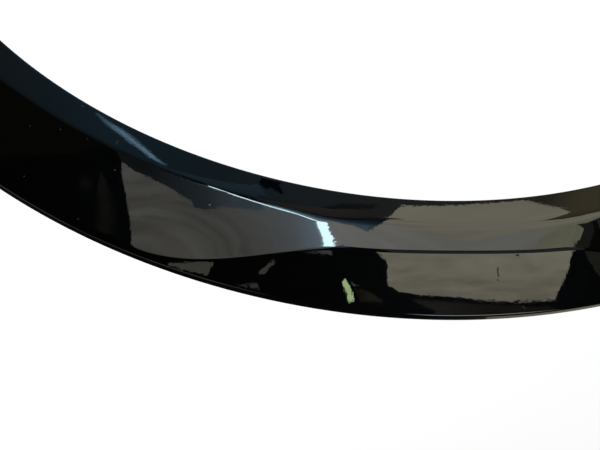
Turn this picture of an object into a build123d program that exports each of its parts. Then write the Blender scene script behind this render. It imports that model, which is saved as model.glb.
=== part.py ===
from build123d import *
import math
import os

# Wheel arch trim: a moulded plastic arch with the push-in clips that hold it to the car's body side.
# Sizes are in millimetres and degrees. The origin is on the axis of the crown peg, in the plane of the
# body side that the lip lies on. +X runs along the car, +Y points into the body and +Z points up.
# A section of the arch is drawn with its radius from the wheel's centre and its height above the body side.
# An angle round the arch is measured at the wheel's centre, from the crown towards +X.

# Arch
OPENING_RADIUS = 389.3
HALF_SWEEP = 90.0
WALL = 2.6

# Face at the crown, from the inner edge at the wheel opening to the lip on the body side
BEVEL_WIDTH = 22.7
BAND_WIDTH = 17.5
SKIRT_WIDTH = 33.5
EDGE_HEIGHT = 15.3
CREASE_HEIGHT = 22.0
SKIRT_SLOPE = 27.0
LIP_HEIGHT = 4.5
FLANGE_DEPTH = 14.0
FACE_CURVE = 900.0          # radius of the slight crown across the band and the skirt

# The ridge between band and skirt drifts outwards on each side of the crown, then runs out beside the lip
RIDGE_DRIFT = 3.0
DRIFT_ENDS = 14.0
RIDGE_LEAVES = 8.5
RIDGE_ENDS = 24.0
RIDGE_MARGIN = 3.2

# The crease between bevel and band is soft at the crown and crisp further down each side
CREASE_SOFT = 5.5
CREASE_CRISP = 19.0

# Rounded corners of the section, given by the length that each one takes from the two lines that it joins
EDGE_ROUNDING = 2.4
CRISP_ROUNDING = 1.1
SOFT_ROUNDING = 8.0
RIDGE_ROUNDING = 1.0
LIP_ROUNDING = 1.0
INNER_ROUNDING = 0.8

# Webs of the crown peg, the towers and the gussets
WEB = 1.8

# Crown peg, on a pad that two crossed webs carry
PEG_TO_LIP = 29.0
PEG_RADIUS = 4.0
PEG_LENGTH = 9.0
PEG_CHAMFER = 1.2
PAD_RADIUS = 6.5
PAD_THICKNESS = 2.0

# Retaining clips
CLIPS_EACH_SIDE = 4
FIRST_CLIP_ANGLE = 14.0
LAST_CLIP_TO_END = 13.0
CLIP_TO_LIP = 31.0
NECK_RADIUS = 3.0
HEAD_RADIUS = 6.5
HEAD_THICKNESS = 1.6
COLLAR_RADIUS = 6.0
COLLAR_FLARE = 2.5
SHANK_RADIUS = 2.4
SHANK_PLAIN = 1.8
BARB_COUNT = 4
BARB_RADIUS = 4.2
BARB_LENGTH = 1.8
BARB_GAP = 0.7
TIP_RADIUS = 1.0
TIP_LENGTH = 3.0

# Clip towers: a slotted seat on three walls that hang from the face
SEAT_HEIGHT = 2.6
SEAT_THICKNESS = 2.0
SEAT_LEAD = 7.5             # seat past the clip's head on the open side
NECK_CLEARANCE = 0.2
HEAD_CLEARANCE = 1.7

# Gussets between the flange and the bevel
GUSSETS_PER_BAY = 2
GUSSET_WIDTH = 13.0
GUSSET_DROP = 11.0

# Sections that the crown is lofted through
CROWN_SECTIONS = 24

OUTER_RADIUS = OPENING_RADIUS + BEVEL_WIDTH + BAND_WIDTH + SKIRT_WIDTH
PEG_CENTRE = OUTER_RADIUS - PEG_TO_LIP
CLIP_CENTRE = OUTER_RADIUS - CLIP_TO_LIP
CLIP_PITCH = (HALF_SWEEP - LAST_CLIP_TO_END - FIRST_CLIP_ANGLE) / (CLIPS_EACH_SIDE - 1)
WHEEL_CENTRE = (0, 0, -PEG_CENTRE)
OUTWARD = (0, -1, 0)
UPRIGHT = (Align.CENTER, Align.CENTER, Align.MIN)


def smooth_step(value, start, end):
    """Rise smoothly from 0 at start to 1 at end."""
    share = min(max((value - start) / (end - start), 0.0), 1.0)
    return share * share * (3.0 - 2.0 * share)


def radial(angle):
    """Direction from the wheel's centre to the arch at an angle."""
    turn = math.radians(angle)
    return (math.sin(turn), 0, math.cos(turn))


def section_plane(angle):
    """Plane across the arch: x is the radius, y is the height above the body side."""
    turn = math.radians(angle)
    along = (math.cos(turn), 0, -math.sin(turn))
    return Plane(origin=WHEEL_CENTRE, x_dir=radial(angle), z_dir=along)


def seat_plane(radius, angle):
    """Plane on the body side: x is the radius, z points outwards, away from the body."""
    turn = math.radians(angle)
    spot = (radius * math.sin(turn), 0, radius * math.cos(turn) - PEG_CENTRE)
    return Plane(origin=spot, x_dir=radial(angle), z_dir=OUTWARD)


def towards_crown(angle):
    """Sign of the way to the crown along a section plane's normal."""
    return -1 if angle > 0 else 1


def along(start, end, length):
    """Point at a length from start on the way to end."""
    share = length / math.dist(start, end)
    return (start[0] + (end[0] - start[0]) * share, start[1] + (end[1] - start[1]) * share)


def inward_normal(start, end):
    """Unit normal of a line of the outer skin, pointing into the wall."""
    length = math.dist(start, end)
    return ((end[1] - start[1]) / length, (start[0] - end[0]) / length)


def crowned(start, end):
    """Point that lifts the middle of a line of the skin by the sagitta of the face's crown."""
    length = math.dist(start, end)
    middle = along(start, end, length / 2)
    normal = inward_normal(start, end)
    lift = length ** 2 / (8 * FACE_CURVE)
    return (middle[0] - normal[0] * lift, middle[1] - normal[1] * lift)


def skin_corners(angle):
    """Corners of the outer skin, from the foot of the flange to the foot of the lip."""
    drifted = SKIRT_WIDTH - RIDGE_DRIFT * smooth_step(abs(angle), 0.0, DRIFT_ENDS)
    run_out = smooth_step(abs(angle), RIDGE_LEAVES, RIDGE_ENDS)
    ridge_to_lip = drifted + (RIDGE_MARGIN - drifted) * run_out
    crease = (OPENING_RADIUS + BEVEL_WIDTH, CREASE_HEIGHT)
    ridge_height = LIP_HEIGHT + ridge_to_lip * math.tan(math.radians(SKIRT_SLOPE))
    ridge = (OUTER_RADIUS - ridge_to_lip, ridge_height)
    lip = (OUTER_RADIUS, LIP_HEIGHT)
    return [
        (OPENING_RADIUS, -FLANGE_DEPTH),
        (OPENING_RADIUS, EDGE_HEIGHT),
        crease,
        crowned(crease, ridge),
        ridge,
        crowned(ridge, lip),
        lip,
        (OUTER_RADIUS, 0.0),
    ]


def crease_rounding(angle):
    """Rounding of the crease at an angle."""
    crisp = smooth_step(abs(angle), CREASE_SOFT, CREASE_CRISP)
    return SOFT_ROUNDING + (CRISP_ROUNDING - SOFT_ROUNDING) * crisp


def inset(corners, depth):
    """The same chain of corners, moved into the wall by a depth."""
    normals = [inward_normal(start, end) for start, end in zip(corners, corners[1:])]
    before = [normals[0]] + normals
    after = normals + [normals[-1]]
    moved = []
    for corner, first, second in zip(corners, before, after):
        reach = depth / (1.0 + first[0] * second[0] + first[1] * second[1])
        x = corner[0] + reach * (first[0] + second[0])
        y = corner[1] + reach * (first[1] + second[1])
        moved.append((x, y))
    return moved


def rounded_chain(corners, roundings):
    """Lines through the corners, with each inner corner rounded within the lines that it joins."""
    edges = []
    begin = corners[0]
    for before, corner, after, wanted in zip(corners, corners[1:], corners[2:], roundings):
        shorter = min(math.dist(before, corner), math.dist(corner, after))
        length = min(wanted, 0.45 * shorter)
        arrive = along(corner, before, length)
        leave = along(corner, after, length)
        edges.append(Line(begin, arrive))
        edges.append(Bezier(arrive, corner, leave))
        begin = leave
    edges.append(Line(begin, corners[-1]))
    return edges


def wall_outline(angle):
    """Closed outline of the moulding's wall at one angle."""
    crease = crease_rounding(angle)
    face = [crease, FACE_CURVE, RIDGE_ROUNDING, FACE_CURVE]
    outer = skin_corners(angle)
    inner = inset(outer, WALL)
    edges = rounded_chain(outer, [EDGE_ROUNDING] + face + [LIP_ROUNDING])
    edges.append(Line(outer[-1], inner[-1]))
    edges += rounded_chain(inner[::-1], [INNER_ROUNDING] + face[::-1] + [INNER_ROUNDING])
    edges.append(Line(inner[0], outer[0]))
    return section_plane(angle) * Wire(edges)


def height_in_wall(chain, radius):
    """Height of a chain of corners at a radius."""
    for start, end in zip(chain, chain[1:]):
        if radius <= end[0]:
            break
    share = (radius - start[0]) / (end[0] - start[0])
    return start[1] + (end[1] - start[1]) * share


def under_face(angle, inner, outer):
    """Points along the middle of the face's wall from one radius to another."""
    chain = inset(skin_corners(angle), WALL / 2)[1:-1]
    between = [corner for corner in chain if inner + WALL / 2 < corner[0] < outer - WALL / 2]
    return [(inner, height_in_wall(chain, inner))] + between + [(outer, height_in_wall(chain, outer))]


def plate(plane, outline, thickness):
    """Flat plate on both sides of a plane."""
    return extrude(make_face(plane * Polyline(*outline, close=True)), amount=thickness / 2, both=True)


def web(angle, inner, outer, foot, thickness, shift=0.0):
    """Plate across the arch from a foot height up into the wall of the face."""
    outline = [(inner, foot)] + under_face(angle, inner, outer) + [(outer, foot)]
    return plate(section_plane(angle).offset(shift), outline, thickness)


def side():
    """Length of the wall with a constant section, from the end of the ridge to the end of the arch."""
    outline = make_face(wall_outline(RIDGE_ENDS).edges())
    return revolve(outline, axis=Axis(WHEEL_CENTRE, (0, 1, 0)), revolution_arc=HALF_SWEEP - RIDGE_ENDS)


def crown():
    """Length of the wall round the crown, where the ridge and the crease change."""
    step = 2 * RIDGE_ENDS / CROWN_SECTIONS
    angles = [step * index - RIDGE_ENDS for index in range(CROWN_SECTIONS + 1)]
    return Solid.make_loft([wall_outline(angle) for angle in angles])


def clip_angles():
    """Angles of the clips on both sides of the crown."""
    one_side = [FIRST_CLIP_ANGLE + CLIP_PITCH * index for index in range(CLIPS_EACH_SIDE)]
    return [-angle for angle in reversed(one_side)] + one_side


def gusset_angles():
    """Angles of the gussets, evenly spaced in each bay between two clips on one side of the crown."""
    spacing = CLIP_PITCH / (GUSSETS_PER_BAY + 1)
    one_side = []
    for bay in range(CLIPS_EACH_SIDE - 1):
        bay_start = FIRST_CLIP_ANGLE + CLIP_PITCH * bay
        one_side += [bay_start + spacing * (index + 1) for index in range(GUSSETS_PER_BAY)]
    return [-angle for angle in one_side] + one_side


def end_wall(angle):
    """Wall that closes one end of the channel under the face, as thick as the rest of the moulding."""
    shift = towards_crown(angle) * WALL / 2
    return web(angle, OPENING_RADIUS + WALL / 2, OUTER_RADIUS - WALL / 2, 0.0, WALL, shift)


def clip_tower(angle):
    """Slotted seat for one clip on three walls, open on the side that faces the nearer end of the arch."""
    reach = HEAD_RADIUS + HEAD_CLEARANCE + WEB
    lead = HEAD_RADIUS + SEAT_LEAD
    inner = CLIP_CENTRE - reach
    outer = CLIP_CENTRE + reach
    back = towards_crown(angle)
    middle = back * (reach - lead) / 2
    walls = [
        web(angle, inner, inner + WEB, SEAT_HEIGHT, reach + lead, middle),
        web(angle, outer - WEB, outer, SEAT_HEIGHT, reach + lead, middle),
        web(angle, inner, outer, SEAT_HEIGHT, WEB, back * (reach - WEB / 2)),
    ]
    slot_radius = NECK_RADIUS + NECK_CLEARANCE
    seat = Pos(0, -middle, 0) * Box(2 * reach, reach + lead, SEAT_THICKNESS, align=UPRIGHT)
    seat -= Cylinder(slot_radius, SEAT_THICKNESS, align=UPRIGHT)
    seat -= Pos(0, back * lead / 2, 0) * Box(2 * slot_radius, lead, SEAT_THICKNESS, align=UPRIGHT)
    return walls + [seat_plane(CLIP_CENTRE, angle) * Pos(0, 0, SEAT_HEIGHT) * seat]


def crown_peg():
    """Locating peg with a chamfered tip, on a pad that two crossed webs carry."""
    cross = [
        web(0, PEG_CENTRE - PAD_RADIUS, PEG_CENTRE + PAD_RADIUS, 0.0, WEB),
        web(0, PEG_CENTRE - WEB / 2, PEG_CENTRE + WEB / 2, 0.0, 2 * PAD_RADIUS),
    ]
    pad = Cylinder(PAD_RADIUS, PAD_THICKNESS, align=UPRIGHT)
    pin = Cylinder(PEG_RADIUS, PEG_LENGTH + PAD_THICKNESS, align=UPRIGHT)
    pin = chamfer(pin.edges().sort_by(Axis.Z)[0], PEG_CHAMFER)
    return cross + [seat_plane(PEG_CENTRE, 0) * (pad + Pos(0, 0, -PEG_LENGTH) * pin)]


def gusset(angle):
    """Thin triangular web between the flange and the underside of the bevel."""
    root = OPENING_RADIUS + WALL / 2
    outline = [(root, EDGE_HEIGHT - GUSSET_DROP)] + under_face(angle, root, root + GUSSET_WIDTH)
    return plate(section_plane(angle), outline, WEB)


def retaining_clip(angle):
    """Push-in clip: head above the seat, neck in the slot, collar on the body side and a barbed shank."""
    seat_top = SEAT_HEIGHT + SEAT_THICKNESS
    profile = [
        (0, seat_top + HEAD_THICKNESS),
        (HEAD_RADIUS, seat_top + HEAD_THICKNESS),
        (HEAD_RADIUS, seat_top),
        (NECK_RADIUS, seat_top),
        (NECK_RADIUS, SEAT_HEIGHT),
        (COLLAR_RADIUS, SEAT_HEIGHT),
        (COLLAR_RADIUS + COLLAR_FLARE, 0),
        (SHANK_RADIUS, 0),
    ]
    depth = -SHANK_PLAIN
    for _ in range(BARB_COUNT):
        profile += [(SHANK_RADIUS, depth), (BARB_RADIUS, depth), (SHANK_RADIUS, depth - BARB_LENGTH)]
        depth -= BARB_LENGTH + BARB_GAP
    profile += [(SHANK_RADIUS, depth), (TIP_RADIUS, depth - TIP_LENGTH), (0, depth - TIP_LENGTH)]
    outline = make_face(Plane.XZ * Polyline(*profile, close=True))
    return seat_plane(CLIP_CENTRE, angle) * revolve(outline, axis=Axis.Z)


def arch_moulding():
    """The one-piece moulding: wall, end walls, clip towers, crown peg and gussets."""
    wall = [crown(), side(), mirror(side(), about=Plane.YZ)]
    moulded_on = [end_wall(-HALF_SWEEP), end_wall(HALF_SWEEP)] + crown_peg()
    for angle in clip_angles():
        moulded_on += clip_tower(angle)
    moulded_on += [gusset(angle) for angle in gusset_angles()]
    return Part() + wall + moulded_on


os.makedirs("parts", exist_ok=True)
export_step(arch_moulding(), "parts/arch_moulding.step")
clips = Compound(children=[retaining_clip(angle) for angle in clip_angles()])
export_step(clips, "parts/retaining_clips.step")
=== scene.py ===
import math

import bpy
from mathutils import Matrix, Vector


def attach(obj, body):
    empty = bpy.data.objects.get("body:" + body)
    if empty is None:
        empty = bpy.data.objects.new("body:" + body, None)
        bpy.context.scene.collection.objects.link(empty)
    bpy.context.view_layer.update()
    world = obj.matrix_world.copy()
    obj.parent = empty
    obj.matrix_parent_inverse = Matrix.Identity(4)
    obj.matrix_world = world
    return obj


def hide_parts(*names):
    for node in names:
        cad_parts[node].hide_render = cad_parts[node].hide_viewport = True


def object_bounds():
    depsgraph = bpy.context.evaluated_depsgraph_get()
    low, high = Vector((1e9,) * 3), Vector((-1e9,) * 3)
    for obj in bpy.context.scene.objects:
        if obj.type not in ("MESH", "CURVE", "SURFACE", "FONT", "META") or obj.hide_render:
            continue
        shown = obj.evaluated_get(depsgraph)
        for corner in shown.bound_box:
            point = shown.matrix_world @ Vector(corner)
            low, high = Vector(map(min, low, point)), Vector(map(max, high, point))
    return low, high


# Wheel arch trim: the looks of the gloss-painted moulding and of its push-in clips.
# Sizes of the object are in millimetres and degrees, and are turned into metres where a point is placed.
# The stage, the lights and the camera are given in metres.
# A section of the arch is drawn with its radius from the wheel's centre and its height above the body side.
# An angle round the arch is measured at the wheel's centre, from the crown towards +X.

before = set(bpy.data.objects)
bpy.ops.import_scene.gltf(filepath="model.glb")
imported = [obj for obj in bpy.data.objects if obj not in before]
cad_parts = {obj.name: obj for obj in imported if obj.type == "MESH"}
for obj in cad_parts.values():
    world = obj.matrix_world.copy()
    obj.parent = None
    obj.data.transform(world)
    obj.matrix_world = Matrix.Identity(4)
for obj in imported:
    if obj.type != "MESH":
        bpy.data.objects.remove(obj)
cad_low, cad_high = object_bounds()

MM = 0.001

# Arch
OPENING_RADIUS = 389.3
HALF_SWEEP = 90.0
WALL = 2.6

# Face at the crown, from the inner edge at the wheel opening to the lip on the body side
BEVEL_WIDTH = 22.7
BAND_WIDTH = 17.5
SKIRT_WIDTH = 33.5
EDGE_HEIGHT = 15.3
CREASE_HEIGHT = 22.0
SKIRT_SLOPE = 27.0
LIP_HEIGHT = 4.5
FLANGE_DEPTH = 14.0
FACE_CURVE = 900.0

# The ridge between band and skirt drifts outwards on each side of the crown, then runs out beside the lip
RIDGE_DRIFT = 3.0
DRIFT_ENDS = 14.0
RIDGE_LEAVES = 8.5
RIDGE_ENDS = 24.0
RIDGE_MARGIN = 3.2

# The crease between bevel and band is soft at the crown and crisp further down each side
CREASE_SOFT = 5.5
CREASE_CRISP = 19.0

# Rounded corners of the section
EDGE_ROUNDING = 2.4
CRISP_ROUNDING = 1.1
SOFT_ROUNDING = 8.0
RIDGE_ROUNDING = 1.0
LIP_ROUNDING = 1.0
INNER_ROUNDING = 0.8
ROUNDING_SHARE = 0.45       # a rounding takes at most this share of the shorter line beside it

# Webs, crown peg, clips, towers and gussets on the back
WEB = 1.8
PEG_TO_LIP = 29.0
PEG_RADIUS = 4.0
PEG_LENGTH = 9.0
PEG_CHAMFER = 1.2
PAD_RADIUS = 6.5
PAD_THICKNESS = 2.0
CLIPS_EACH_SIDE = 4
FIRST_CLIP_ANGLE = 14.0
LAST_CLIP_TO_END = 13.0
CLIP_TO_LIP = 31.0
NECK_RADIUS = 3.0
HEAD_RADIUS = 6.5
HEAD_THICKNESS = 1.6
COLLAR_RADIUS = 6.0
COLLAR_FLARE = 2.5
SHANK_RADIUS = 2.4
SHANK_PLAIN = 1.8
BARB_COUNT = 4
BARB_RADIUS = 4.2
BARB_LENGTH = 1.8
BARB_GAP = 0.7
TIP_RADIUS = 1.0
TIP_LENGTH = 3.0
SEAT_HEIGHT = 2.6
SEAT_THICKNESS = 2.0
SEAT_LEAD = 7.5
NECK_CLEARANCE = 0.2
HEAD_CLEARANCE = 1.7
GUSSETS_PER_BAY = 2
GUSSET_WIDTH = 13.0
GUSSET_DROP = 11.0

OUTER_RADIUS = OPENING_RADIUS + BEVEL_WIDTH + BAND_WIDTH + SKIRT_WIDTH
PEG_CENTRE = OUTER_RADIUS - PEG_TO_LIP
CLIP_CENTRE = OUTER_RADIUS - CLIP_TO_LIP
CLIP_PITCH = (HALF_SWEEP - LAST_CLIP_TO_END - FIRST_CLIP_ANGLE) / (CLIPS_EACH_SIDE - 1)

# Fineness of the meshes
CROWN_STEPS = 194
SIDE_STEPS = 132
LINE_SHARES = (0.0, 0.05, 0.5, 0.95)
OUTER_ROUND_STEPS = 8
INNER_ROUND_STEPS = 4
ROUND_STEPS = 48
SHARP_ANGLE = math.radians(32)

# Places of the moulding's two materials in its list
PAINTED = 0
MOULDED = 1

# Camera of the photo, which shows the arch with its crown at the bottom
CAMERA_PLACE = Vector((0.14603, -0.45655, 0.23357))
CAMERA_FORWARD = Vector((-0.1047, 0.8572, -0.5042))
CAMERA_UP = Vector((0.0061, -0.5064, -0.8623))
CAMERA_LENS = 52.2
CAMERA_SENSOR = 36.0

# Stage
WHITE = (1.0, 1.0, 1.0, 1.0)
FLOOR_SIZE = 60.0
FLOOR_COLOUR = (0.86, 0.86, 0.86, 1.0)
FLOOR_GLOW = 0.87           # share of white glow in the floor where it is seen, the rest being matt
WORLD_LIGHT = 0.5           # strength of the white surroundings as light on matt surfaces
TENT_HALF = 3.0
TENT_HEIGHT = 2.6
TENT_SIDES = (0.010, 0.011, 0.008)
MAT_LIFT = 0.0005           # the tent's own floor lies this far above the floor
CARD_LIFT = 0.0015          # each layer of cards lies this far from the one before
CARD_WALL = -1.4            # the upright cards stand this far in front of the body side
NEAR_WALL = -0.3            # a few of them stand nearer
BACK_WALL = 1.5             # and one stands this far behind it
FOLD_SCALE = (6.0, 16.0, 30.0)  # fineness of the folds in the cards along X, Y and Z

# Wear on the face, as (angle, radius, size, strength), and the depths of its chips and its orange peel
DUST_SPECKS = [
    (34.36, 417.6, 0.55, 0.9), (36.72, 425.2, 0.55, 0.6), (31.88, 414.6, 0.5, 0.6),
    (28.44, 423.7, 0.55, 1.0), (34.56, 451.3, 0.5, 0.9), (29.08, 457.5, 0.9, 0.4),
    (34.72, 394.0, 0.7, 0.8), (20.12, 422.6, 0.6, 0.8), (30.0, 438.1, 6.5, 0.075),
    (29.68, 406.1, 0.7, 0.5), (29.62, 407.3, 0.7, 0.6), (29.56, 408.5, 0.6, 0.5),
    (-4.76, 459.1, 0.5, 0.5), (-4.86, 460.1, 0.5, 0.5),
]
DUST_COLOUR = (0.14, 0.14, 0.13)
PAINT_CHIPS = [
    (-2.99, 438.6, 0.6, 1.0), (-2.96, 439.8, 0.6, 1.0), (-2.96, 441.0, 0.6, 1.0),
    (-3.0, 442.2, 0.6, 1.0), (-2.94, 444.6, 0.5, 0.7), (-4.60, 432.2, 0.6, 1.0),
    (-4.70, 432.2, 0.6, 1.0),
]
CHIP_DEPTH = 0.12
PEEL_DEPTH = 0.005


def smooth_step(value, start, end):
    """Rise smoothly from 0 at start to 1 at end."""
    share = min(max((value - start) / (end - start), 0.0), 1.0)
    return share * share * (3.0 - 2.0 * share)


def placed(angle, radius, height, shift=0.0):
    """Point of the arch in metres: radius and height in the section at an angle, shifted along the arch."""
    turn = math.radians(angle)
    x = radius * math.sin(turn) + shift * math.cos(turn)
    z = radius * math.cos(turn) - shift * math.sin(turn) - PEG_CENTRE
    return Vector((x, -height, z)) * MM


def towards_crown(angle):
    """Sign of the way to the crown along the arch."""
    return -1 if angle > 0 else 1


def along(start, end, length):
    """Point at a length from start on the way to end."""
    share = length / math.dist(start, end)
    return (start[0] + (end[0] - start[0]) * share, start[1] + (end[1] - start[1]) * share)


def inward_normal(start, end):
    """Unit normal of a line of the outer skin, pointing into the wall."""
    length = math.dist(start, end)
    return ((end[1] - start[1]) / length, (start[0] - end[0]) / length)


def crowned(start, end):
    """Point that lifts the middle of a line of the skin by the sagitta of the face's crown."""
    length = math.dist(start, end)
    middle = along(start, end, length / 2)
    normal = inward_normal(start, end)
    lift = length ** 2 / (8 * FACE_CURVE)
    return (middle[0] - normal[0] * lift, middle[1] - normal[1] * lift)


def skin_corners(angle):
    """Corners of the outer skin, from the foot of the flange to the foot of the lip."""
    drifted = SKIRT_WIDTH - RIDGE_DRIFT * smooth_step(abs(angle), 0.0, DRIFT_ENDS)
    run_out = smooth_step(abs(angle), RIDGE_LEAVES, RIDGE_ENDS)
    ridge_to_lip = drifted + (RIDGE_MARGIN - drifted) * run_out
    crease = (OPENING_RADIUS + BEVEL_WIDTH, CREASE_HEIGHT)
    ridge_height = LIP_HEIGHT + ridge_to_lip * math.tan(math.radians(SKIRT_SLOPE))
    ridge = (OUTER_RADIUS - ridge_to_lip, ridge_height)
    lip = (OUTER_RADIUS, LIP_HEIGHT)
    return [
        (OPENING_RADIUS, -FLANGE_DEPTH),
        (OPENING_RADIUS, EDGE_HEIGHT),
        crease,
        crowned(crease, ridge),
        ridge,
        crowned(ridge, lip),
        lip,
        (OUTER_RADIUS, 0.0),
    ]


def crease_rounding(angle):
    """Rounding of the crease at an angle."""
    crisp = smooth_step(abs(angle), CREASE_SOFT, CREASE_CRISP)
    return SOFT_ROUNDING + (CRISP_ROUNDING - SOFT_ROUNDING) * crisp


def inset(corners, depth):
    """The same chain of corners, moved into the wall by a depth."""
    normals = [inward_normal(start, end) for start, end in zip(corners, corners[1:])]
    before = [normals[0]] + normals
    after = normals + [normals[-1]]
    moved = []
    for corner, first, second in zip(corners, before, after):
        reach = depth / (1.0 + first[0] * second[0] + first[1] * second[1])
        x = corner[0] + reach * (first[0] + second[0])
        y = corner[1] + reach * (first[1] + second[1])
        moved.append((x, y))
    return moved


def bezier(start, corner, end, share):
    """Point on the curve that rounds a corner."""
    rest = 1.0 - share
    weights = (rest * rest, 2.0 * rest * share, share * share)
    return tuple(sum(w * p[k] for w, p in zip(weights, (start, corner, end))) for k in (0, 1))


def rounded_chain(corners, roundings, round_steps):
    """Points along lines through the corners, with each inner corner rounded."""
    points = []
    begin = corners[0]
    for before, corner, after, wanted in zip(corners, corners[1:], corners[2:], roundings):
        shorter = min(math.dist(before, corner), math.dist(corner, after))
        length = min(wanted, ROUNDING_SHARE * shorter)
        arrive = along(corner, before, length)
        leave = along(corner, after, length)
        run = math.dist(begin, arrive)
        points += [along(begin, arrive, run * share) for share in LINE_SHARES]
        points += [bezier(arrive, corner, leave, step / round_steps) for step in range(round_steps)]
        begin = leave
    run = math.dist(begin, corners[-1])
    points += [along(begin, corners[-1], run * share) for share in LINE_SHARES]
    points.append(corners[-1])
    return points


def wall_loop(angle):
    """Outer and inner chains of points round the moulding's wall at one angle."""
    crease = crease_rounding(angle)
    face = [crease, FACE_CURVE, RIDGE_ROUNDING, FACE_CURVE]
    outer_roundings = [EDGE_ROUNDING] + face + [LIP_ROUNDING]
    inner_roundings = [INNER_ROUNDING] + face[::-1] + [INNER_ROUNDING]
    corners = skin_corners(angle)
    inner_corners = inset(corners, WALL)[::-1]
    outer = rounded_chain(corners, outer_roundings, OUTER_ROUND_STEPS)
    inner = rounded_chain(inner_corners, inner_roundings, INNER_ROUND_STEPS)
    return outer, inner


def section_angles():
    """Angles of the sections, closer together round the crown."""
    crown = [RIDGE_ENDS * (2 * step / CROWN_STEPS - 1) for step in range(CROWN_STEPS + 1)]
    side_step = (HALF_SWEEP - RIDGE_ENDS) / SIDE_STEPS
    side = [RIDGE_ENDS + side_step * (step + 1) for step in range(SIDE_STEPS)]
    return [-angle for angle in reversed(side)] + crown + side


def height_in_wall(chain, radius):
    """Height of a chain of corners at a radius."""
    for start, end in zip(chain, chain[1:]):
        if radius <= end[0]:
            break
    share = (radius - start[0]) / (end[0] - start[0])
    return start[1] + (end[1] - start[1]) * share


def under_face(angle, inner, outer):
    """Points along the middle of the face's wall from one radius to another."""
    chain = inset(skin_corners(angle), WALL / 2)[1:-1]
    between = [corner for corner in chain if inner + WALL / 2 < corner[0] < outer - WALL / 2]
    return [(inner, height_in_wall(chain, inner))] + between + [(outer, height_in_wall(chain, outer))]


def new_mesh_object(name, points, faces, materials, indices=None):
    """Mesh object from points and faces, with a material index for each face."""
    mesh = bpy.data.meshes.new(name)
    mesh.from_pydata(points, [], faces)
    for material in materials:
        mesh.materials.append(material)
    if indices:
        mesh.polygons.foreach_set("material_index", indices)
    mesh.validate()
    obj = bpy.data.objects.new(name, mesh)
    bpy.context.scene.collection.objects.link(obj)
    return obj


def prism(name, near, far, materials):
    """Closed prism between two outlines with the same number of points, all moulded plastic."""
    count = len(near)
    faces = [list(range(count))[::-1], list(range(count, 2 * count))]
    faces += [[i, (i + 1) % count, count + (i + 1) % count, count + i] for i in range(count)]
    obj = new_mesh_object(name, near + far, faces, materials, [MOULDED] * len(faces))
    turn_outward(obj.data)
    return obj


def turn_outward(mesh):
    """Turn a closed mesh's faces outward, by the sign of its volume."""
    volume = 0.0
    mesh.calc_loop_triangles()
    for triangle in mesh.loop_triangles:
        a, b, c = (mesh.vertices[i].co for i in triangle.vertices)
        volume += a.dot(b.cross(c))
    if volume < 0:
        mesh.flip_normals()


def plate(name, angle, outline, thickness, materials, shift=0.0):
    """Flat plate across the arch, on both sides of a section plane that may be shifted along the arch."""
    near = [placed(angle, r, h, shift - thickness / 2) for r, h in outline]
    far = [placed(angle, r, h, shift + thickness / 2) for r, h in outline]
    return prism(name, near, far, materials)


def web(name, angle, inner, outer, foot, thickness, materials, shift=0.0):
    """Plate across the arch from a foot height up into the wall of the face."""
    outline = [(inner, foot)] + under_face(angle, inner, outer) + [(outer, foot)]
    return plate(name, angle, outline, thickness, materials, shift)


def turned(name, angle, radius, profile, materials, index):
    """Solid of revolution about an axis that points away from the body, from (radius, height) points."""
    points = []
    faces = []
    rings = []
    for r, h in profile:
        if r == 0:
            rings.append([len(points)])
            points.append(placed(angle, radius, h))
            continue
        rings.append(list(range(len(points), len(points) + ROUND_STEPS)))
        for step in range(ROUND_STEPS):
            turn = 2 * math.pi * step / ROUND_STEPS
            points.append(placed(angle, radius + r * math.cos(turn), h, r * math.sin(turn)))
    for first, second in zip(rings, rings[1:]):
        for step in range(ROUND_STEPS):
            after = (step + 1) % ROUND_STEPS
            if len(first) == 1:
                faces.append([first[0], second[step], second[after]])
            elif len(second) == 1:
                faces.append([first[after], first[step], second[0]])
            else:
                faces.append([first[after], first[step], second[step], second[after]])
    obj = new_mesh_object(name, points, faces, materials, [index] * len(faces))
    turn_outward(obj.data)
    return obj


def wall_object(materials):
    """The swept wall of the moulding, painted outside and bare inside."""
    points = []
    faces = []
    indices = []
    angles = section_angles()
    for angle in angles:
        outer, inner = wall_loop(angle)
        points += [placed(angle, r, h) for r, h in outer + inner]
    painted = len(outer)
    loop = len(outer) + len(inner)
    for row in range(len(angles) - 1):
        near = row * loop
        far = near + loop
        for column in range(loop):
            after = (column + 1) % loop
            faces.append([near + column, near + after, far + after, far + column])
            indices.append(PAINTED if column < painted or after == 0 else MOULDED)
    last = (len(angles) - 1) * loop
    faces.append(list(reversed(range(loop))))
    faces.append([last + column for column in range(loop)])
    indices += [PAINTED, PAINTED]
    obj = new_mesh_object("moulding", points, faces, materials, indices)
    turn_outward(obj.data)
    return obj


def end_wall(angle, materials):
    """Wall that closes one end of the channel under the face."""
    shift = towards_crown(angle) * WALL / 2
    inner = OPENING_RADIUS + WALL / 2
    outer = OUTER_RADIUS - WALL / 2
    return web("end_wall", angle, inner, outer, 0.0, WALL, materials, shift)


def seat_outline(reach, lead, back):
    """Plan of a tower's seat as (radius, shift) about the clip, with its slot open away from the crown."""
    slot = NECK_RADIUS + NECK_CLEARANCE
    half_steps = ROUND_STEPS // 2
    half_round = [math.pi / 2 - math.pi * step / half_steps for step in range(half_steps + 1)]
    outline = [(-reach, -lead), (-reach, reach), (reach, reach), (reach, -lead), (slot, -lead)]
    outline += [(slot * math.sin(turn), slot * math.cos(turn)) for turn in half_round]
    outline.append((-slot, -lead))
    return [(r, back * s) for r, s in outline]


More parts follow.
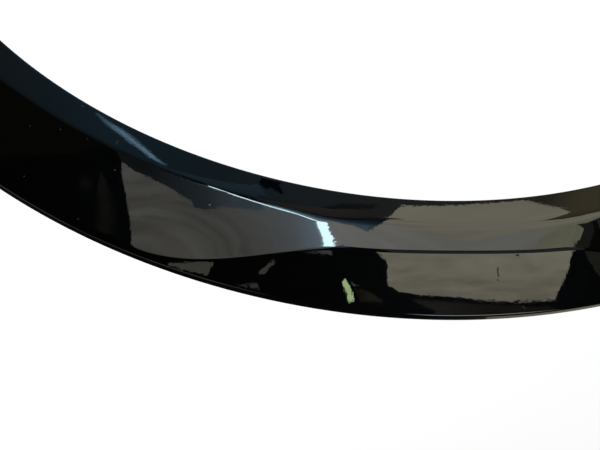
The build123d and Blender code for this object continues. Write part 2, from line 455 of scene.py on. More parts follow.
def clip_tower(angle, materials):
    """Slotted seat for one clip on three walls, open on the side that faces the nearer end of the arch."""
    reach = HEAD_RADIUS + HEAD_CLEARANCE + WEB
    lead = HEAD_RADIUS + SEAT_LEAD
    inner = CLIP_CENTRE - reach
    outer = CLIP_CENTRE + reach
    back = towards_crown(angle)
    middle = back * (reach - lead) / 2
    plan = seat_outline(reach, lead, back)
    low = [placed(angle, CLIP_CENTRE + r, SEAT_HEIGHT, s) for r, s in plan]
    high = [placed(angle, CLIP_CENTRE + r, SEAT_HEIGHT + SEAT_THICKNESS, s) for r, s in plan]
    return [
        web("tower_wall", angle, inner, inner + WEB, SEAT_HEIGHT, reach + lead, materials, middle),
        web("tower_wall", angle, outer - WEB, outer, SEAT_HEIGHT, reach + lead, materials, middle),
        web("tower_wall", angle, inner, outer, SEAT_HEIGHT, WEB, materials, back * (reach - WEB / 2)),
        prism("tower_seat", low, high, materials),
    ]


def crown_peg(materials):
    """Locating peg with a chamfered tip, on a pad that two crossed webs carry."""
    pad = [(0, 0), (PAD_RADIUS, 0), (PAD_RADIUS, PAD_THICKNESS), (0, PAD_THICKNESS)]
    pin = [
        (0, -PEG_LENGTH),
        (PEG_RADIUS - PEG_CHAMFER, -PEG_LENGTH),
        (PEG_RADIUS, PEG_CHAMFER - PEG_LENGTH),
        (PEG_RADIUS, PAD_THICKNESS / 2),
        (0, PAD_THICKNESS / 2),
    ]
    return [
        web("peg_web", 0, PEG_CENTRE - PAD_RADIUS, PEG_CENTRE + PAD_RADIUS, 0.0, WEB, materials),
        web("peg_web", 0, PEG_CENTRE - WEB / 2, PEG_CENTRE + WEB / 2, 0.0, 2 * PAD_RADIUS, materials),
        turned("peg_pad", 0, PEG_CENTRE, pad, materials, MOULDED),
        turned("peg_pin", 0, PEG_CENTRE, pin, materials, MOULDED),
    ]


def gusset(angle, materials):
    """Thin triangular web between the flange and the underside of the bevel."""
    root = OPENING_RADIUS + WALL / 2
    outline = [(root, EDGE_HEIGHT - GUSSET_DROP)] + under_face(angle, root, root + GUSSET_WIDTH)
    return plate("gusset", angle, outline, WEB, materials)


def both_sides(one_side):
    """Angles on one side of the crown, and the same on the other side."""
    return [-angle for angle in reversed(one_side)] + list(one_side)


def clip_angles():
    """Angles of the clips on both sides of the crown."""
    return both_sides([FIRST_CLIP_ANGLE + CLIP_PITCH * index for index in range(CLIPS_EACH_SIDE)])


def gusset_angles():
    """Angles of the gussets, evenly spaced in each bay between two clips on one side of the crown."""
    spacing = CLIP_PITCH / (GUSSETS_PER_BAY + 1)
    one_side = []
    for bay in range(CLIPS_EACH_SIDE - 1):
        bay_start = FIRST_CLIP_ANGLE + CLIP_PITCH * bay
        one_side += [bay_start + spacing * (index + 1) for index in range(GUSSETS_PER_BAY)]
    return both_sides(one_side)


def united(base, others, name):
    """One mesh object from a base and the solids that are moulded on to it."""
    group = bpy.data.collections.new("moulded_on")
    bpy.context.scene.collection.children.link(group)
    for other in others:
        bpy.context.scene.collection.objects.unlink(other)
        group.objects.link(other)
    union = base.modifiers.new("union", "BOOLEAN")
    union.operation = "UNION"
    union.operand_type = "COLLECTION"
    union.collection = group
    union.solver = "MANIFOLD"
    graph = bpy.context.evaluated_depsgraph_get()
    mesh = bpy.data.meshes.new_from_object(base.evaluated_get(graph))
    mesh.name = name
    result = bpy.data.objects.new(name, mesh)
    bpy.context.scene.collection.objects.link(result)
    for spent in others + [base]:
        bpy.data.objects.remove(spent)
    bpy.data.collections.remove(group)
    return result


def smooth(obj):
    """Shade an object smooth, with sharp edges where its faces meet at more than a set angle."""
    obj.data.polygons.foreach_set("use_smooth", [True] * len(obj.data.polygons))
    obj.data.set_sharp_from_angle(angle=SHARP_ANGLE)


def arch_moulding(materials):
    """The one-piece moulding: wall, end walls, clip towers, crown peg and gussets."""
    moulded_on = [end_wall(-HALF_SWEEP, materials), end_wall(HALF_SWEEP, materials)]
    moulded_on += crown_peg(materials)
    for angle in clip_angles():
        moulded_on += clip_tower(angle, materials)
    moulded_on += [gusset(angle, materials) for angle in gusset_angles()]
    moulding = united(wall_object(materials), moulded_on, "painted_moulding")
    smooth(moulding)
    return moulding


def clip_profile():
    """Outline of a clip as (radius, height) points, from the top of its head to the tip of its shank."""
    seat_top = SEAT_HEIGHT + SEAT_THICKNESS
    profile = [
        (0, seat_top + HEAD_THICKNESS),
        (HEAD_RADIUS, seat_top + HEAD_THICKNESS),
        (HEAD_RADIUS, seat_top),
        (NECK_RADIUS, seat_top),
        (NECK_RADIUS, SEAT_HEIGHT),
        (COLLAR_RADIUS, SEAT_HEIGHT),
        (COLLAR_RADIUS + COLLAR_FLARE, 0),
        (SHANK_RADIUS, 0),
    ]
    depth = -SHANK_PLAIN
    for _ in range(BARB_COUNT):
        profile += [(SHANK_RADIUS, depth), (BARB_RADIUS, depth), (SHANK_RADIUS, depth - BARB_LENGTH)]
        depth -= BARB_LENGTH + BARB_GAP
    return profile + [(SHANK_RADIUS, depth), (TIP_RADIUS, depth - TIP_LENGTH), (0, depth - TIP_LENGTH)]


def retaining_clips(materials):
    """All the clips as one group."""
    clips = [turned("clip", angle, CLIP_CENTRE, clip_profile(), materials, 0) for angle in clip_angles()]
    points = []
    faces = []
    for clip in clips:
        start = len(points)
        points += [vertex.co.copy() for vertex in clip.data.vertices]
        faces += [[start + i for i in polygon.vertices] for polygon in clip.data.polygons]
        bpy.data.objects.remove(clip)
    group = new_mesh_object("push_in_clips", points, faces, materials)
    smooth(group)
    return group


def new_material(name):
    """Material with empty nodes, and its node tree."""
    material = bpy.data.materials.new(name)
    material.use_nodes = True
    material.node_tree.nodes.clear()
    return material, material.node_tree


def add_node(tree, kind, inputs=None, **settings):
    """Node with its settings, and with each input set to a value or linked to another node's output."""
    node = tree.nodes.new(kind)
    for name, value in settings.items():
        setattr(node, name, value)
    for name, value in (inputs or {}).items():
        if isinstance(value, bpy.types.NodeSocket):
            tree.links.new(value, node.inputs[name])
        else:
            node.inputs[name].default_value = value
    return node


def finish_material(tree, shader):
    """Link a shader to the material's output."""
    add_node(tree, "ShaderNodeOutputMaterial", {"Surface": shader})


def finish_surface(tree, inputs):
    """End a material in one surface shader with these inputs."""
    finish_material(tree, add_node(tree, "ShaderNodeBsdfPrincipled", inputs).outputs["BSDF"])


def place_of(tree):
    """Place on the object, in metres."""
    return add_node(tree, "ShaderNodeTexCoord").outputs["Object"]


def noise(tree, place, scale, detail=2.0):
    """Noise with features of about one metre divided by the scale."""
    inputs = {"Vector": place, "Scale": scale, "Detail": detail}
    return add_node(tree, "ShaderNodeTexNoise", inputs).outputs["Fac"]


def ramp(tree, value, stops):
    """Colours along a value, as (position, colour) stops."""
    node = add_node(tree, "ShaderNodeValToRGB", {"Fac": value})
    elements = node.color_ramp.elements
    while len(elements) < len(stops):
        elements.new(0.5)
    for element, (position, colour) in zip(elements, stops):
        element.position = position
        element.color = (*colour, 1.0)
    return node.outputs["Color"]


def math_node(tree, operation, first, second):
    """Result of an operation on two values."""
    return add_node(tree, "ShaderNodeMath", {0: first, 1: second}, operation=operation).outputs["Value"]


def map_range(tree, value, source=(0.0, 1.0), target=(0.0, 1.0)):
    """Value carried from a source range over to a target range, and held at its ends."""
    inputs = {"Value": value, "From Min": source[0], "From Max": source[1]}
    inputs.update({"To Min": target[0], "To Max": target[1]})
    return add_node(tree, "ShaderNodeMapRange", inputs).outputs["Result"]


def bump(tree, height, depth, strength=1.0, under=None):
    """Normal of a surface with bumps of a depth in metres, over another normal if there is one."""
    inputs = {"Strength": strength, "Distance": depth, "Height": height}
    if under is not None:
        inputs["Normal"] = under
    return add_node(tree, "ShaderNodeBump", inputs).outputs["Normal"]


def specks(tree, place, spots):
    """Share that specks on the face cover: each one's strength in its middle, fading to 0 at its rim."""
    flat = add_node(tree, "ShaderNodeVectorMath", {0: place, 1: (1.0, 0.0, 1.0)}, operation="MULTIPLY")
    cover = 0.0
    for angle, radius, size, strength in spots:
        inputs = {0: flat.outputs["Vector"], 1: placed(angle, radius, 0.0)}
        distance = add_node(tree, "ShaderNodeVectorMath", inputs, operation="DISTANCE").outputs["Value"]
        share = map_range(tree, distance, source=(size * MM, 0.0), target=(0.0, strength))
        cover = math_node(tree, "MAXIMUM", cover, share)
    return cover


def gloss_paint():
    """Blue-black paint with fine flake, under a clear coat with a little orange peel, dust and chips."""
    material, tree = new_material("gloss_paint")
    place = place_of(tree)
    flake = add_node(tree, "ShaderNodeTexVoronoi", {"Vector": place, "Scale": 2600.0}).outputs["Color"]
    paint = ramp(tree, flake, [(0.2, (0.0011, 0.0014, 0.0024)), (0.9, (0.0030, 0.0038, 0.0062))])
    dust = specks(tree, place, DUST_SPECKS)
    colours = {"Factor": dust, "A": paint, "B": (*DUST_COLOUR, 1.0)}
    base = add_node(tree, "ShaderNodeMix", colours, data_type="RGBA")
    chips = bump(tree, specks(tree, place, PAINT_CHIPS), CHIP_DEPTH * MM)
    peel = bump(tree, noise(tree, place, scale=450.0), PEEL_DEPTH * MM, under=chips)
    surface = bump(tree, noise(tree, place, scale=70.0, detail=1.0), PEEL_DEPTH * MM, under=peel)
    inputs = {
        "Base Color": base.outputs["Result"],
        "Metallic": math_node(tree, "SUBTRACT", 1.0, dust),
        "Roughness": 0.32,
        "Normal": surface,
        "Coat Weight": 1.0,
        "Coat Roughness": 0.012,
        "Coat IOR": 1.56,
        "Coat Normal": surface,
    }
    finish_surface(tree, inputs)
    return material


def moulded_plastic():
    """Bare black plastic of the back, with a fine grain from the mould."""
    material, tree = new_material("moulded_plastic")
    place = place_of(tree)
    cloud = noise(tree, place, scale=26.0, detail=4.0)
    grain = noise(tree, place, scale=1500.0, detail=3.0)
    inputs = {
        "Base Color": ramp(tree, cloud, [(0.3, (0.013, 0.013, 0.014)), (0.7, (0.024, 0.024, 0.025))]),
        "Roughness": map_range(tree, cloud, target=(0.42, 0.58)),
        "Normal": bump(tree, grain, depth=4.0e-5, strength=0.5),
    }
    finish_surface(tree, inputs)
    return material


def clip_nylon():
    """Natural nylon, a little uneven in colour and gloss."""
    material, tree = new_material("clip_nylon")
    place = place_of(tree)
    cloud = noise(tree, place, scale=140.0, detail=3.0)
    grain = noise(tree, place, scale=1800.0)
    inputs = {
        "Base Color": ramp(tree, cloud, [(0.3, (0.66, 0.63, 0.55)), (0.7, (0.76, 0.74, 0.68))]),
        "Roughness": map_range(tree, cloud, target=(0.34, 0.5)),
        "Subsurface Weight": 0.12,
        "Subsurface Radius": (0.002, 0.0016, 0.0012),
        "Normal": bump(tree, grain, depth=3.0e-5, strength=0.4),
    }
    finish_surface(tree, inputs)
    return material


def seen_directly(tree):
    """1 for rays from the camera and those that gloss or glass sends on, 0 for light on matt surfaces."""
    path = add_node(tree, "ShaderNodeLightPath").outputs
    both = math_node(tree, "MAXIMUM", path["Is Camera Ray"], path["Is Glossy Ray"])
    return math_node(tree, "MAXIMUM", both, path["Is Transmission Ray"])


def floor_material():
    """White floor that keeps a soft shadow."""
    material, tree = new_material("floor_white")
    share = math_node(tree, "MULTIPLY", seen_directly(tree), FLOOR_GLOW)
    matt = add_node(tree, "ShaderNodeBsdfDiffuse", {"Color": FLOOR_COLOUR})
    glow = add_node(tree, "ShaderNodeEmission", {"Color": WHITE, "Strength": 1.0})
    inputs = {0: share, 1: matt.outputs["BSDF"], 2: glow.outputs["Emission"]}
    finish_material(tree, add_node(tree, "ShaderNodeMixShader", inputs).outputs["Shader"])
    return material


def even(colour):
    """Stops of a card that has one colour all over."""
    return [(0.0, colour)]


def card_material(name, stops, axis="X", unevenness=0.0, fade=None):
    """Glow of a light card: colours at places on an axis, and soft folds that may fade in along it."""
    material, tree = new_material(name)
    place = place_of(tree)
    value = add_node(tree, "ShaderNodeSeparateXYZ", {"Vector": place}).outputs[axis]
    inputs = {"Color": (*stops[0][1], 1.0), "Strength": 1.0}
    if len(stops) > 1:
        first = stops[0][0]
        last = stops[-1][0]
        colours = [((spot - first) / (last - first), colour) for spot, colour in stops]
        inputs["Color"] = ramp(tree, map_range(tree, value, source=(first, last)), colours)
    if unevenness:
        drawn = add_node(tree, "ShaderNodeVectorMath", {0: place, 1: FOLD_SCALE}, operation="MULTIPLY")
        height = noise(tree, drawn.outputs["Vector"], scale=1.0, detail=4.0)
        folds = math_node(tree, "MULTIPLY", math_node(tree, "SUBTRACT", height, 0.5), 2.0 * unevenness)
        if fade:
            folds = math_node(tree, "MULTIPLY", folds, map_range(tree, value, source=fade))
        inputs["Strength"] = math_node(tree, "ADD", folds, 1.0)
    finish_material(tree, add_node(tree, "ShaderNodeEmission", inputs).outputs["Emission"])
    material.cycles.emission_sampling = "NONE"
    return material


def reflected_only(obj):
    """A stage piece that is only seen in reflections."""
    obj.visible_camera = False
    obj.visible_diffuse = False
    obj.visible_transmission = False
    obj.visible_volume_scatter = False
    obj.visible_shadow = False


def card(name, corners, material):
    """Flat light card through its corners."""
    points = [Vector(corner) for corner in corners]
    reflected_only(new_mesh_object(name, points, [list(range(len(points)))], [material]))


def lying_card(name, spots, stops, axis="X", unevenness=0.0, layer=1):
    """Card on the tent's floor, from (x, y) spots."""
    height = cad_low.z + layer * CARD_LIFT
    card(name, [(x, y, height) for x, y in spots], card_material(name, stops, axis, unevenness))


def standing_card(name, spots, stops, axis="Z", unevenness=0.0, fade=None, layer=0, wall=CARD_WALL):
    """Card upright in front of the arch or behind it, from (x, z) spots."""
    depth = wall + layer * CARD_LIFT
    card(name, [(x, depth, z) for x, z in spots], card_material(name, stops, axis, unevenness, fade))


def hanging_card(name, spots, stops):
    """Card under the tent's roof, from (x, y) spots."""
    height = cad_low.z + TENT_HEIGHT - CARD_LIFT
    card(name, [(x, y, height) for x, y in spots], card_material(name, stops))


def soft_light(name, rows, colour):
    """Sheet of light in front of what is behind it, from rows of (place, level)."""
    width = len(rows[0])
    points = [place for row in rows for place, _ in row]
    levels = [level for row in rows for _, level in row]
    faces = []
    for i in range(len(rows) - 1):
        for start in range(width * i, width * i + width - 1):
            faces.append([start, start + 1, start + width + 1, start + width])
    material, tree = new_material(name)
    glow = add_node(tree, "ShaderNodeAttribute", attribute_name="glow").outputs["Fac"]
    light = add_node(tree, "ShaderNodeEmission", {"Color": (*colour, 1.0), "Strength": glow})
    clear = add_node(tree, "ShaderNodeBsdfTransparent")
    both = {0: light.outputs["Emission"], 1: clear.outputs["BSDF"]}
    finish_material(tree, add_node(tree, "ShaderNodeAddShader", both).outputs["Shader"])
    material.cycles.emission_sampling = "NONE"
    obj = new_mesh_object(name, points, faces, [material])
    obj.data.attributes.new("glow", "FLOAT", "POINT").data.foreach_set("value", levels)
    reflected_only(obj)


def soft_streak(name, path, colour, layer):
    """Streak on the tent's floor that fades to both sides, from ((x, y), half width, level) places."""
    height = cad_low.z + layer * CARD_LIFT
    middle = [Vector((x, y, height)) for (x, y), _, _ in path]
    rows = []
    for i, (_, half, level) in enumerate(path):
        way = middle[min(i + 1, len(path) - 1)] - middle[max(i - 1, 0)]
        side = way.cross(Vector((0, 0, 1))).normalized() * half
        rows.append([(middle[i] - side, 0.0), (middle[i], level), (middle[i] + side, 0.0)])
    soft_light(name, rows, colour)


def level_square(half, height):
    """Corners of a level square about the upright axis."""
    rim = ((-half, -half), (half, -half), (half, half), (-half, half))
    return [Vector((x, y, height)) for x, y in rim]


def tent():
    """Dark tent round the object, only seen in reflections."""
    points = level_square(TENT_HALF, cad_low.z + MAT_LIFT)
    points += level_square(TENT_HALF, cad_low.z + TENT_HEIGHT)
    faces = [[0, 1, 2, 3], [4, 5, 6, 7]]
    faces += [[i, (i + 1) % 4, 4 + (i + 1) % 4, 4 + i] for i in range(4)]
    floor = card_material("tent_floor", even((0.028, 0.028, 0.018)))
    roof = card_material("tent_roof", even((0.02, 0.02, 0.02)))
    sides = card_material("tent_sides", even(TENT_SIDES))
    indices = [0, 1, 2, 2, 2, 2]
    reflected_only(new_mesh_object("tent", points, faces, [floor, roof, sides], indices))


def warm_cards():
    """Beige and grey cards that the right half of the arch reflects, and the darker ones beside them."""
    before = [
        (-0.079, -0.1991), (-0.068, -0.2205), (-0.086, -0.2235), (-0.0745, -0.262), (-0.080, -0.385),
    ]
    shared_edge = [
        (-0.102, -0.679), (-0.121, -0.95), (-0.112, -0.99), (-0.092, -0.995), (-0.06, -0.975),
        (-0.033, -0.90), (-0.018, -0.905), (-0.005, -1.0), (0.01, -1.17), (0.04, -1.22), (0.12, -1.33),
        (-0.10, -1.155), (-0.138, -1.09), (-0.165, -1.04), (-0.225, -0.968), (-0.294, -0.938),
        (-0.375, -0.958), (-0.47, -1.02),
    ]
    after = [
        (-0.58, -1.105), (-0.70, -1.135), (-0.80, -1.215), (-0.802, -1.17), (-0.775, -1.135),
        (-0.69, -1.08), (-0.66, -1.0), (-0.62, -0.86), (-0.50, -0.68), (-0.44, -0.47), (-0.30, -0.45),
        (-0.255, -0.40), (-0.24, -0.27), (-0.232, -0.2355), (-0.225, -0.2255), (-0.205, -0.215),
        (-0.185, -0.205), (-0.15, -0.2025),
    ]
    stops = [
        (-1.08, (1.66, 1.66, 1.15)), (-0.95, (1.85, 1.80, 1.32)), (-0.70, (2.20, 2.05, 1.62)),
        (-0.30, (1.90, 1.76, 1.37)), (-0.20, (1.75, 1.62, 1.26)),
    ]
    spots = before + shared_edge + after
    lying_card("warm_card_low", spots, stops, axis="Y", unevenness=0.35, layer=3)
    spots = [
        (-0.10, -0.50), (-0.14, -0.646), (-0.195, -0.83), (-0.247, -0.845), (-0.308, -0.85),
        (-0.385, -0.876), (-0.486, -0.957), (-0.513, -1.007), (-0.545, -1.08),
    ]
    stops = [
        (-0.40, (1.80, 1.79, 1.65)), (-0.25, (1.90, 1.88, 1.68)), (-0.15, (2.15, 2.10, 1.92)),
        (-0.06, (2.25, 2.25, 2.12)),
    ]
    lying_card("grey_mat", spots + shared_edge[::-1], stops, unevenness=0.2, layer=4)

    spots = [
        (-0.088, 0.55), (-0.091, 0.597), (-0.107, 0.617), (-0.135, 0.634), (-0.138, 0.678),
        (-0.144, 0.736), (-0.193, 0.770), (-0.288, 0.789), (-0.377, 0.7945), (-0.445, 0.7985),
        (-0.518, 0.8085), (-0.590, 0.815), (-0.662, 0.818), (-0.814, 0.813), (-0.947, 0.804),
        (-0.970, 0.736), (-0.988, 0.617), (-1.015, 0.55),
    ]
    stops = [(0.58, (2.60, 2.42, 1.86)), (0.72, (2.22, 2.04, 1.58)), (0.82, (2.10, 1.92, 1.47))]
    standing_card("warm_card_high", spots, stops, unevenness=0.42)

    spots = [
        (-0.250, 0.807), (-0.289, 0.812), (-0.379, 0.816), (-0.518, 0.823), (-0.663, 0.829),
        (-0.815, 0.829), (-0.935, 0.826), (-0.95, 0.90), (-0.40, 0.90), (-0.364, 0.845),
        (-0.314, 0.830),
    ]
    stops = [(-0.62, (0.10, 0.08, 0.04)), (-0.40, (0.19, 0.165, 0.12))]
    standing_card("brown_card", spots, stops, axis="X", unevenness=0.2)
    spots = [(-1.05, 0.57), (-1.30, 0.57), (-1.30, 0.72), (-1.17, 0.68), (-1.11, 0.615)]
    standing_card("dim_card_high", spots, even((0.18, 0.18, 0.13)), unevenness=0.1)
    spots = [
        (-0.14, -0.10), (-0.17, -0.20), (-0.21, -0.225), (-0.22, -0.30), (-0.24, -0.40),
        (-0.30, -0.425), (-0.60, -0.45), (-0.60, -0.10),
    ]
    stops = [
        (-0.26, (0.37, 0.31, 0.17)), (-0.238, (0.40, 0.335, 0.19)), (-0.218, (0.27, 0.23, 0.14)),
        (-0.204, (0.14, 0.12, 0.08)),
    ]
    lying_card("olive_card", spots, stops, unevenness=0.1, layer=2)
    spots = [(-0.68, -1.06), (-0.95, -1.18), (-1.0, CARD_WALL), (-0.78, CARD_WALL)]
    lying_card("dim_card_low", spots, even((0.13, 0.13, 0.115)), unevenness=0.1)


def cool_cards():
    """Blue dusk near the arch, and the strip light that its crease and its band reflect."""
    spots = [(-0.50, 0.30), (0.60, 0.30), (0.60, -0.26), (-0.50, -0.26)]
    stops = [
        (-0.08, (0.120, 0.125, 0.120)), (0.0, (0.105, 0.140, 0.155)), (0.10, (0.070, 0.122, 0.160)),
        (0.18, (0.070, 0.142, 0.198)), (0.27, (0.072, 0.100, 0.120)),
    ]
    lying_card("dusk_mat", spots, stops, unevenness=0.15)
    spots = [(0.12, -0.26), (0.90, -0.26), (0.90, -1.38), (0.32, -1.38)]
    lying_card("dusk_far", spots, even((0.07, 0.10, 0.12)))
    spots = [
        (0.131, -0.2005), (0.115, -0.198), (0.094, -0.197), (0.072, -0.196), (0.047, -0.192),
        (0.028, -0.215), (0.06, -0.30), (0.15, -0.30), (0.14, -0.21),
    ]
    stops = [(-0.212, (0.090, 0.15, 0.19)), (-0.20, (0.12, 0.22, 0.30)), (-0.19, (0.15, 0.27, 0.36))]
    lying_card("dusk_edge", spots, stops, axis="Y", unevenness=0.1, layer=2)
    spots = [
        (0.048, -0.188), (0.041, -0.1945), (0.036, -0.192), (0.027, -0.197), (0.024, -0.1955),
        (0.030, -0.187), (0.027, -0.183), (0.033, -0.181), (0.045, -0.181),
    ]
    lying_card("dark_scrap", spots, even((0.0, 0.0, 0.01)), layer=3)

    near = [(0.045, -0.203), (0.016, -0.2105), (-0.002, -0.2115), (-0.027, -0.201), (-0.06, -0.198)]
    far = [(-0.055, -0.2045), (-0.027, -0.2075), (-0.002, -0.2185), (0.016, -0.2175), (0.045, -0.213)]
    lying_card("dark_seam", near + far, even((0.04, 0.05, 0.05)), layer=2)
    spots = [
        (-0.064, -0.218), (-0.060, -0.31), (-0.045, -0.425), (-0.022, -0.52), (0.0, -0.56),
        (0.06, -0.52),
    ]
    stops = [
        (-0.06, (0.10, 0.10, 0.09)), (-0.02, (0.21, 0.195, 0.165)), (0.02, (0.18, 0.175, 0.16)),
        (0.05, (0.15, 0.17, 0.18)),
    ]
    lying_card("brown_mat", far[::-1] + spots, stops, unevenness=0.1, layer=2)
    spots = [
        (-0.088, -0.42), (-0.070, -0.40), (-0.052, -0.50), (-0.030, -0.595), (0.0, -0.63),
        (0.06, -0.58), (0.06, -1.0), (-0.012, -1.02), (-0.06, -1.0), (-0.092, -1.02), (-0.118, -1.0),
        (-0.104, -0.68),
    ]
    stops = [(-0.90, (0.66, 1.0, 1.25)), (-0.70, (0.24, 0.42, 0.58)), (-0.55, (0.07, 0.16, 0.24))]
    lying_card("blue_wedge", spots, stops, axis="Y", unevenness=0.15, layer=2)
    spots = [(-0.025, -0.66), (0.06, -0.66), (0.06, -1.0), (0.07, -1.28), (0.0, -1.24), (-0.02, -1.0)]
    stops = [
        (-1.2, (2.6, 3.4, 3.8)), (-1.0, (1.7, 2.4, 2.9)), (-0.85, (0.6, 0.95, 1.2)),
        (-0.72, (0.2, 0.38, 0.52)),
    ]
    lying_card("blue_glow", spots, stops, axis="Y", unevenness=0.15, layer=3)

    path = [
        ((0.191, -0.1670), 0.0020, 0.2), ((0.180, -0.1725), 0.0030, 0.6),
        ((0.169, -0.1755), 0.0045, 1.0), ((0.159, -0.1800), 0.0045, 1.0),
        ((0.149, -0.1845), 0.0040, 1.0), ((0.140, -0.1895), 0.0035, 1.1),
        ((0.132, -0.1930), 0.0020, 0.6), ((0.126, -0.1940), 0.0015, 0.0),
    ]
    soft_streak("streak_light", path, colour=(1.08, 1.96, 2.7), layer=4)

    spots = [
        (-0.006, -1.203), (0.006, -1.212), (0.020, -1.228), (0.041, -1.246), (0.060, -1.26),
        (0.09, -1.29), (0.13, -1.36), (0.13, -1.395), (0.0, -1.395), (-0.012, -1.30),
    ]
    lying_card("strip_light", spots, even((14.5, 19.8, 20.5)), unevenness=0.1, layer=5)
    glow = even((11.5, 15.8, 16.8))
    spots = [
        (0.285, -1.395), (0.205, -1.395), (0.185, -1.15), (0.165, -0.90), (0.14, -0.62), (0.155, -0.65),
        (0.20, -0.90), (0.26, -1.22),
    ]
    lying_card("crease_end", spots, glow, unevenness=0.1, layer=5)
    spots = [
        (0.0896, -0.103), (0.0967, -0.098), (0.106, -0.0875), (0.113, -0.0825), (0.1225, -0.073),
        (0.130, -0.069), (0.138, -0.066), (0.1456, -0.063), (0.1525, -0.062), (0.160, -0.0605),
        (0.168, -0.060), (0.172, -0.072), (0.161, -0.105), (0.150, -0.115), (0.140, -0.0995),
        (0.1356, -0.091), (0.1281, -0.0929), (0.1207, -0.0953), (0.114, -0.098), (0.1067, -0.1014),
        (0.0995, -0.1053), (0.0908, -0.1145), (0.0843, -0.1191),
    ]
    standing_card("crease_light", spots, glow, unevenness=0.1, layer=1, wall=NEAR_WALL)
    spots = [
        (0.0690, -0.1010), (0.0608, -0.1050), (0.0474, -0.1100), (0.045, -0.03), (0.073, -0.03),
        (0.0715, -0.08),
    ]
    standing_card("strip_end", spots, even((0.25, 0.50, 0.75)), layer=1, wall=NEAR_WALL)


def grey_cards():
    """Grey panel that the left half of the arch reflects, with a dusky fold and small grey pieces."""
    floor = cad_low.z
    spots = [
        (0.734, -0.20), (0.724, -0.12), (0.720, -0.05), (0.720, 0.05), (0.710, 0.10), (0.708, 0.17),
        (0.15, 0.17), (0.0, floor), (0.30, floor), (0.46, -0.15),
    ]
    stops = [
        (floor, (7.0, 9.5, 10.3)), (-0.422, (2.6, 3.5, 4.1)), (-0.408, (1.50, 1.98, 2.35)),
        (-0.28, (1.12, 1.24, 1.28)), (-0.13, (0.95, 0.93, 0.85)), (0.0, (0.88, 0.86, 0.76)),
    ]
    standing_card("grey_card", spots, stops, unevenness=0.65, fade=(-0.26, -0.06))
    spots = [(0.805, -0.17), (0.775, -0.08), (0.76, 0.0), (0.76, 0.075), (0.86, 0.05), (0.845, -0.04)]
    stops = [
        (0.765, (0.02, 0.02, 0.015)), (0.80, (0.075, 0.075, 0.06)), (0.82, (0.07, 0.07, 0.05)),
        (0.85, TENT_SIDES),
    ]
    standing_card("dim_card_left", spots, stops, axis="X", unevenness=0.2)
    spots = [
        (0.306, -0.089), (0.290, -0.077), (0.272, -0.068), (0.253, -0.057), (0.238, -0.048),
        (0.225, -0.043), (0.2245, -0.037), (0.212, -0.037), (0.193, -0.0425), (0.167, -0.0485),
        (0.147, -0.0555), (0.135, -0.061), (0.14, -0.066), (0.175, -0.065), (0.205, -0.072),
        (0.24, -0.09), (0.33, -0.135),
    ]
    stops = [
        (0.147, (0.45, 0.66, 0.80)), (0.17, (0.50, 0.62, 0.70)), (0.19, (0.40, 0.48, 0.52)),
        (0.208, (0.24, 0.32, 0.36)), (0.238, (0.17, 0.22, 0.25)), (0.273, (0.08, 0.095, 0.095)),
    ]
    standing_card("dusk_fold", spots, stops, axis="X", unevenness=0.1, wall=NEAR_WALL)
    spots = [
        (0.774, 0.575), (0.678, 0.578), (0.579, 0.589), (0.586, 0.601), (0.603, 0.629), (0.611, 0.647),
        (0.702, 0.613), (0.774, 0.585),
    ]
    standing_card("grey_patch", spots, even((0.74, 0.72, 0.58)), unevenness=0.15)
    spots = [
        (0.393, 0.656), (0.372, 0.659), (0.351, 0.623), (0.330, 0.611), (0.336, 0.601), (0.355, 0.610),
        (0.371, 0.621), (0.382, 0.630), (0.395, 0.646),
    ]
    standing_card("grey_scrap_high", spots, even((0.66, 0.64, 0.52)))
    spots = [(0.495, 0.696), (0.405, 0.702), (0.394, 0.720), (0.415, 0.714), (0.442, 0.706)]
    standing_card("grey_scrap_low", spots, even((0.54, 0.53, 0.46)))
    spots = [
        (0.215, 0.578), (0.139, 0.579), (0.098, 0.592), (0.097, 0.604), (0.130, 0.598), (0.212, 0.588),
    ]
    stops = [(0.09, (0.75, 0.80, 0.82)), (0.23, (0.40, 0.48, 0.52))]
    standing_card("grey_sliver", spots, stops, axis="X")


def tube_cards():
    """Greenish tube light that the middle of the skirt reflects, with what shows beside it."""
    spots = [
        (0.050, 0.714), (0.037, 0.702), (0.021, 0.732), (-0.004, 0.800), (0.019, 0.801), (0.041, 0.757),
    ]
    standing_card("tube_light", spots, even((5.4, 7.0, 3.4)), unevenness=0.3)
    spots = [(0.013, 0.717), (-0.004, 0.732), (-0.022, 0.742), (0.003, 0.736)]
    standing_card("tube_scrap", spots, even((0.90, 0.93, 0.77)))
    spots = [(0.004, 0.749), (-0.040, 0.755), (-0.101, 0.797), (-0.131, 0.810), (-0.025, 0.803)]
    stops = [(-0.12, (0.25, 0.22, 0.165)), (-0.02, (0.09, 0.075, 0.035))]
    standing_card("tube_wedge", spots, stops, axis="X")


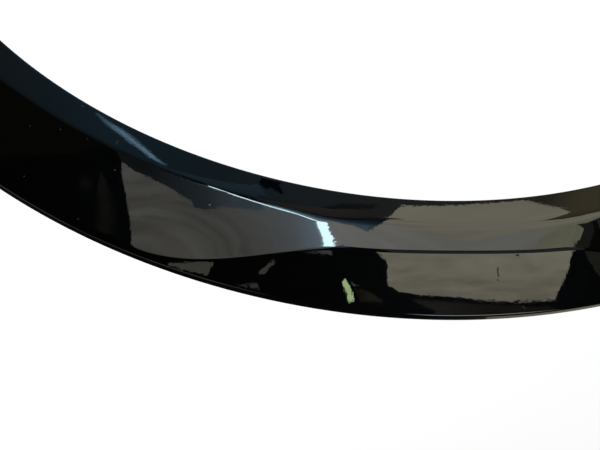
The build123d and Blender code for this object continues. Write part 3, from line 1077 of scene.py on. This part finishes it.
def edge_cards():
    """Cards that only the narrow roundings of the ridge and the lip catch."""
    spots = [(-0.15, -0.40), (-1.0, -0.40), (-1.0, 0.50), (-0.15, 0.50)]
    standing_card("ridge_card_right", spots, even((0.24, 0.25, 0.26)))
    side = TENT_HALF - CARD_LIFT
    corners = [(side, -2.4, 0.55), (side, -0.4, 0.55), (side, -0.4, 2.1), (side, -2.4, 2.1)]
    card("lip_card_left", corners, card_material("lip_card_left", even((0.72, 0.70, 0.65))))
    spots = [(0.75, -2.8), (2.95, -2.8), (2.95, -0.5), (0.75, -0.5)]
    stops = [(0.75, (0.12, 0.12, 0.12)), (1.3, (0.55, 0.54, 0.50))]
    hanging_card("lip_card_roof", spots, stops)
    spots = [(-0.50, -2.8), (-1.65, -2.8), (-1.65, -1.3), (-0.50, -1.3)]
    stops = [(-1.0, (3.4, 3.2, 2.8)), (-0.75, (3.2, 3.7, 4.3))]
    hanging_card("lip_card_top", spots, stops)
    spots = [(-0.60, 0.30), (-1.6, 0.30), (-1.6, 0.90), (-0.60, 0.90)]
    standing_card("lip_card_back", spots, even((0.50, 0.46, 0.36)), unevenness=0.1, wall=BACK_WALL)


def area_light(name, place, target, size, power):
    """Soft square light aimed at a target, and not seen in reflections."""
    light = bpy.data.lights.new(name, "AREA")
    light.shape = "SQUARE"
    light.size = size
    light.energy = power
    obj = bpy.data.objects.new(name, light)
    obj.location = place
    obj.rotation_euler = (Vector(target) - Vector(place)).to_track_quat("-Z", "Y").to_euler()
    obj.visible_glossy = False
    bpy.context.scene.collection.objects.link(obj)


def world_light():
    """Even white surroundings, dimmer as light than they look."""
    world = bpy.data.worlds.new("studio")
    world.use_nodes = True
    tree = world.node_tree
    tree.nodes.clear()
    strength = map_range(tree, seen_directly(tree), target=(WORLD_LIGHT, 1.0))
    inputs = {"Color": WHITE, "Strength": strength}
    background = add_node(tree, "ShaderNodeBackground", inputs).outputs["Background"]
    add_node(tree, "ShaderNodeOutputWorld", {"Surface": background})
    bpy.context.scene.world = world


def floor_object():
    """Large floor under the arch's ends."""
    corners = level_square(FLOOR_SIZE / 2, cad_low.z)
    new_mesh_object("floor", corners, [[0, 1, 2, 3]], [floor_material()])


def camera():
    """Camera at the photo's place, turned as the photo was."""
    lens = bpy.data.cameras.new("camera")
    lens.lens = CAMERA_LENS
    lens.sensor_width = CAMERA_SENSOR
    lens.sensor_fit = "HORIZONTAL"
    lens.clip_start = 0.01
    obj = bpy.data.objects.new("camera", lens)
    right = CAMERA_FORWARD.cross(CAMERA_UP).normalized()
    up = right.cross(CAMERA_FORWARD).normalized()
    back = -CAMERA_FORWARD.normalized()
    obj.matrix_world = Matrix.Translation(CAMERA_PLACE) @ Matrix((right, up, back)).transposed().to_4x4()
    bpy.context.scene.collection.objects.link(obj)
    bpy.context.scene.camera = obj


moulding = arch_moulding([gloss_paint(), moulded_plastic()])
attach(moulding, "root")
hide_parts("arch_moulding")

clips = retaining_clips([clip_nylon()])
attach(clips, "root")
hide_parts("retaining_clips")

floor_object()
tent()
warm_cards()
cool_cards()
grey_cards()
tube_cards()
edge_cards()
area_light("top_light", place=(0.0, -0.3, 1.7), target=(0.0, 0.0, cad_low.z), size=1.8, power=34.0)
area_light("back_light", place=(0.9, 1.9, 1.0), target=(0.0, 0.0, -0.2), size=1.4, power=30.0)
world_light()
camera()
bpy.context.scene.view_settings.view_transform = "Standard"
